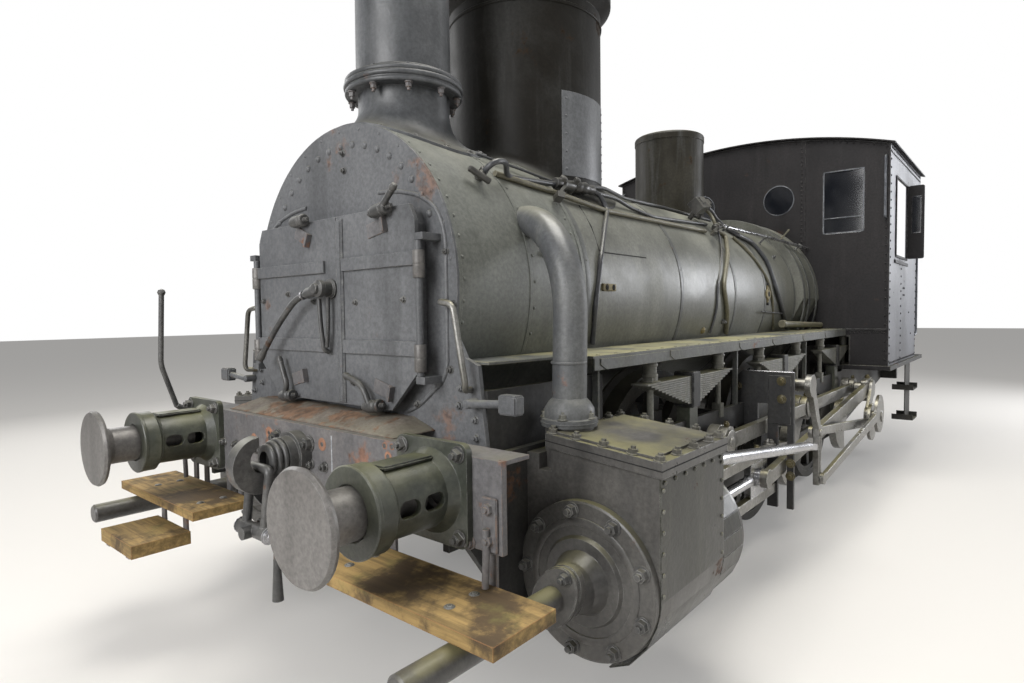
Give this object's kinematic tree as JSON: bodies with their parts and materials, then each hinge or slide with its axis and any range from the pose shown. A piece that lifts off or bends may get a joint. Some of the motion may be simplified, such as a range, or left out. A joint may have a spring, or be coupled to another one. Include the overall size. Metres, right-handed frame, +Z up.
{
  "type": "steam locomotive with three coupled axles",
  "caption": "Steam locomotive without its tender: outside frames and cylinders, tall dome, open-backed cab, wheels, rods and smokebox doors that move.",
  "frame": {"origin": "midway between the buffer faces and the rear drag beam, on the floor under the wheel flanges", "axes": "+X forward, +Y to the locomotive's left, +Z up"},
  "size_m": [7.85, 3.112, 4.4078],
  "materials": {
    "black_paint": "aged semi-matt black",
    "boiler_paint": "dusty scuffed dark grey",
    "cast_iron": "painted casting, greasy",
    "worn_steel": "worn dull steel",
    "motion_steel": "oiled machined steel",
    "wheel_steel": "black wheels with worn treads",
    "wood": "worn planks"
  },
  "bodies": {
    "locomotive": {"ashpan": "black_paint", "axle_boxes": "cast_iron", "boiler_barrel": "boiler_paint", "boiler_pipes": "boiler_paint", "buffer_beam": "black_paint", "buffer_housings": "cast_iron", "buffer_plungers": "worn_steel", "cab_floor": "black_paint", "cab_front": "black_paint", "cab_roof": "black_paint", "cab_side_left": "black_paint", "cab_side_right": "black_paint", "cab_steps": "black_paint", "chimney": "black_paint", "cylinder_covers": "cast_iron", "cylinder_left": "cast_iron", "cylinder_right": "cast_iron", "drag_beam": "black_paint", "draught_screens": "black_paint", "draw_hook": "worn_steel", "expansion_links": "motion_steel", "firebox": "boiler_paint", "frame_plates": "black_paint", "frame_stretchers": "black_paint", "front_planks": "wood", "handrails": "worn_steel", "leaf_springs": "worn_steel", "motion_plates": "black_paint", "running_boards": "black_paint", "sandbox": "boiler_paint", "screw_coupling": "worn_steel", "slide_bars": "motion_steel", "smokebox": "black_paint", "smokebox_front": "black_paint", "smokebox_saddle": "black_paint", "spring_hangers": "worn_steel", "steam_dome": "boiler_paint", "steam_pipes": "cast_iron", "valve_spindles": "motion_steel"},
    "front_wheelset": {"wheels_front": "wheel_steel", "axle_front": "motion_steel"},
    "middle_wheelset": {"wheels_middle": "wheel_steel", "axle_middle": "motion_steel"},
    "rear_wheelset": {"wheels_rear": "wheel_steel", "axle_rear": "motion_steel"},
    "back_gear_rod_left": {"back_gear_rod_left": "motion_steel"},
    "back_gear_rod_right": {"back_gear_rod_right": "motion_steel"},
    "coupling_rod_left": {"coupling_rod_left": "motion_steel"},
    "coupling_rod_right": {"coupling_rod_right": "motion_steel"},
    "crosshead_left": {"crosshead_left": "motion_steel"},
    "crosshead_right": {"crosshead_right": "motion_steel"},
    "fore_gear_rod_left": {"fore_gear_rod_left": "motion_steel"},
    "fore_gear_rod_right": {"fore_gear_rod_right": "motion_steel"},
    "main_rod_left": {"main_rod_left": "motion_steel"},
    "main_rod_right": {"main_rod_right": "motion_steel"},
    "smokebox_door_left": {"smokebox_door_left": "black_paint"},
    "smokebox_door_right": {"smokebox_door_right": "black_paint"}
  },
  "joints": [
    {"name": "front_axle_spin", "type": "hinge", "parent": "locomotive", "child": "front_wheelset", "pos_m": [1.633, 0, 0.66], "axis": [0, 1, 0], "continuous": true},
    {"name": "middle_axle_spin", "type": "hinge", "parent": "locomotive", "child": "middle_wheelset", "pos_m": [0.053, 0, 0.66], "axis": [0, 1, 0], "continuous": true},
    {"name": "rear_axle_spin", "type": "hinge", "parent": "locomotive", "child": "rear_wheelset", "pos_m": [-1.527, 0, 0.66], "axis": [0, 1, 0], "continuous": true},
    {"name": "coupling_rod_left_pivot", "type": "hinge", "parent": "rear_wheelset", "child": "coupling_rod_left", "pos_m": [-1.75045, 1.112, 0.88345], "axis": [0, 1, 0], "continuous": true},
    {"name": "main_rod_left_pivot", "type": "hinge", "parent": "rear_wheelset", "child": "main_rod_left", "pos_m": [-1.75045, 1.233, 0.88345], "axis": [0, 1, 0], "continuous": true},
    {"name": "fore_gear_rod_left_pivot", "type": "hinge", "parent": "rear_wheelset", "child": "fore_gear_rod_left", "pos_m": [-1.561, 1.315, 0.60111], "axis": [0, 1, 0], "continuous": true},
    {"name": "back_gear_rod_left_pivot", "type": "hinge", "parent": "rear_wheelset", "child": "back_gear_rod_left", "pos_m": [-1.46811, 1.389, 0.694], "axis": [0, 1, 0], "continuous": true},
    {"name": "crosshead_left_slide", "type": "slide", "parent": "locomotive", "child": "crosshead_left", "axis": [1, 0, 0], "range_m": [-0.08134, 0.55066]},
    {"name": "coupling_rod_right_pivot", "type": "hinge", "parent": "rear_wheelset", "child": "coupling_rod_right", "pos_m": [-1.30355, -1.112, 0.88345], "axis": [0, 1, 0], "continuous": true},
    {"name": "main_rod_right_pivot", "type": "hinge", "parent": "rear_wheelset", "child": "main_rod_right", "pos_m": [-1.30355, -1.233, 0.88345], "axis": [0, 1, 0], "continuous": true},
    {"name": "fore_gear_rod_right_pivot", "type": "hinge", "parent": "rear_wheelset", "child": "fore_gear_rod_right", "pos_m": [-1.58589, -1.315, 0.694], "axis": [0, 1, 0], "continuous": true},
    {"name": "back_gear_rod_right_pivot", "type": "hinge", "parent": "rear_wheelset", "child": "back_gear_rod_right", "pos_m": [-1.493, -1.389, 0.60111], "axis": [0, 1, 0], "continuous": true},
    {"name": "crosshead_right_slide", "type": "slide", "parent": "locomotive", "child": "crosshead_right", "axis": [1, 0, 0], "range_m": [-0.52823, 0.10377]},
    {"name": "smokebox_door_left_hinge", "type": "hinge", "parent": "locomotive", "child": "smokebox_door_left", "pos_m": [3.2315, 0.624, 1.628], "axis": [0, 0, 1], "range_deg": [0, 100]},
    {"name": "smokebox_door_right_hinge", "type": "hinge", "parent": "locomotive", "child": "smokebox_door_right", "pos_m": [3.2315, -0.624, 1.628], "axis": [0, 0, -1], "range_deg": [0, 100]}
  ],
  "couplings": [
    {"joint": "front_axle_spin", "follows": "rear_axle_spin", "ratio": 1},
    {"joint": "middle_axle_spin", "follows": "rear_axle_spin", "ratio": 1},
    {"joint": "coupling_rod_left_pivot", "follows": "rear_axle_spin", "ratio": -1},
    {"joint": "main_rod_left_pivot", "follows": "rear_axle_spin", "ratio": -1},
    {"joint": "fore_gear_rod_left_pivot", "follows": "rear_axle_spin", "ratio": -1},
    {"joint": "back_gear_rod_left_pivot", "follows": "rear_axle_spin", "ratio": -1},
    {"joint": "coupling_rod_right_pivot", "follows": "rear_axle_spin", "ratio": -1},
    {"joint": "main_rod_right_pivot", "follows": "rear_axle_spin", "ratio": -1},
    {"joint": "fore_gear_rod_right_pivot", "follows": "rear_axle_spin", "ratio": -1},
    {"joint": "back_gear_rod_right_pivot", "follows": "rear_axle_spin", "ratio": -1}
  ]
}
